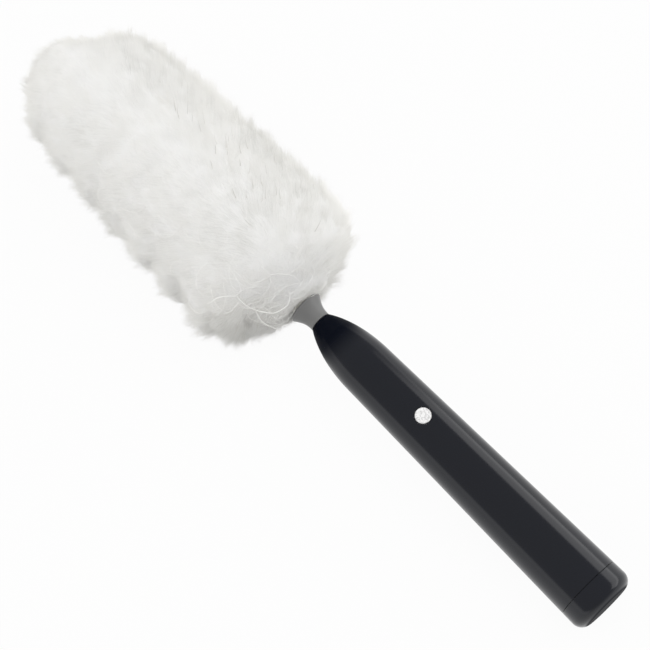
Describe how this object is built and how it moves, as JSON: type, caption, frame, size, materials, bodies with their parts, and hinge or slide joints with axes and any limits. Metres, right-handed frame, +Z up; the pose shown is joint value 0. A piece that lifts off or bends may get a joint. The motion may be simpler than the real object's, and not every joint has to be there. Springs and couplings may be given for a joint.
{
  "type": "electric spin duster",
  "caption": "Cordless spin duster: a round tapered battery handle with a push button and geared motor turns a pull-off fluffy fibre head on a flared neck collar.",
  "frame": {"origin": "centre of the bounding box in plan, on the floor the duster lies on", "axes": "+X from the handle's base towards the head's tip, +Z up, with the push button on top; the tool's own axis rises 5.45 degrees towards the head"},
  "size_m": [0.4526, 0.1056, 0.1027],
  "materials": {
    "black_gloss": "gloss",
    "white_gloss": "gloss",
    "grey_satin": "satin",
    "fluff": "matte",
    "webbing": "matte",
    "spine": "satin",
    "dark_plastic": "matte",
    "white_plastic": "satin",
    "cell": "satin",
    "steel": "satin",
    "brass": "satin",
    "iron": "matte",
    "board": "satin",
    "red_wire": "satin",
    "black_wire": "satin"
  },
  "bodies": {
    "handle": {"handle_front_shell": "black_gloss", "handle_rear_shell": "black_gloss", "shell_screw_1": "steel", "shell_screw_2": "steel", "shell_screw_3": "steel", "shell_screw_4": "steel", "battery_tray": "dark_plastic", "battery_cell_1": "cell", "battery_cell_2": "cell", "battery_cell_3": "cell", "battery_cell_4": "cell", "positive_contact": "steel", "negative_contact": "steel", "negative_spring": "steel", "switch_board": "board", "switch_body": "dark_plastic", "board_screw_1": "steel", "board_screw_2": "steel", "motor_can": "steel", "motor_end_cap": "white_plastic", "motor_magnet_1": "iron", "motor_magnet_2": "iron", "motor_terminal_1": "brass", "motor_terminal_2": "brass", "gearbox_plate": "dark_plastic", "ring_gear_housing": "white_plastic", "gearbox_screw_1": "steel", "gearbox_screw_2": "steel", "rear_bush": "brass", "front_bush": "brass", "wire_positive": "red_wire", "wire_motor": "red_wire", "wire_negative": "black_wire"},
    "end_cap": {"end_cap": "black_gloss", "cap_contact_bridge": "steel", "cap_spring": "steel"},
    "button": {"push_button": "white_gloss", "switch_plunger": "dark_plastic"},
    "spindle": {"planet_carrier": "white_plastic", "drive_shaft": "steel", "shaft_clip": "steel"},
    "rotor": {"motor_shaft": "steel", "motor_armature": "iron", "motor_pinion": "brass"},
    "planet_1": {"planet_gear_1": "white_plastic"},
    "planet_2": {"planet_gear_2": "white_plastic"},
    "planet_3": {"planet_gear_3": "white_plastic"},
    "head": {"neck_collar": "grey_satin", "head_spine": "spine", "fibre_sleeve": "webbing", "spine_tip": "spine", "fluff": "fluff"}
  },
  "joints": [
    {"name": "cap_pull", "type": "slide", "parent": "handle", "child": "end_cap", "axis": [-0.9955, 0, -0.0949], "range_m": [0, 0.03]},
    {"name": "button_press", "type": "slide", "parent": "handle", "child": "button", "axis": [0.0949, 0, -0.9955], "range_m": [0, 0.0015], "stiffness_N_per_m": 1200},
    {"name": "head_spin", "type": "hinge", "parent": "handle", "child": "spindle", "pos_m": [-0.03926, 0, 0.0364], "axis": [0.9955, 0, 0.0949], "continuous": true},
    {"name": "motor_spin", "type": "hinge", "parent": "handle", "child": "rotor", "pos_m": [-0.03926, 0, 0.0364], "axis": [0.9955, 0, 0.0949], "continuous": true},
    {"name": "planet_1_spin", "type": "hinge", "parent": "spindle", "child": "planet_1", "pos_m": [-0.03926, 0.0054, 0.0364], "axis": [0.9955, 0, 0.0949], "continuous": true},
    {"name": "planet_2_spin", "type": "hinge", "parent": "spindle", "child": "planet_2", "pos_m": [-0.0397, -0.0027, 0.04106], "axis": [0.9955, 0, 0.0949], "continuous": true},
    {"name": "planet_3_spin", "type": "hinge", "parent": "spindle", "child": "planet_3", "pos_m": [-0.03882, -0.0027, 0.03174], "axis": [0.9955, 0, 0.0949], "continuous": true},
    {"name": "head_pull", "type": "slide", "parent": "spindle", "child": "head", "axis": [0.9955, 0, 0.0949], "range_m": [0, 0.035]}
  ],
  "couplings": [
    {"joint": "motor_spin", "follows": "head_spin", "ratio": 4.5},
    {"joint": "planet_1_spin", "follows": "head_spin", "ratio": -2.8},
    {"joint": "planet_2_spin", "follows": "head_spin", "ratio": -2.8},
    {"joint": "planet_3_spin", "follows": "head_spin", "ratio": -2.8}
  ]
}
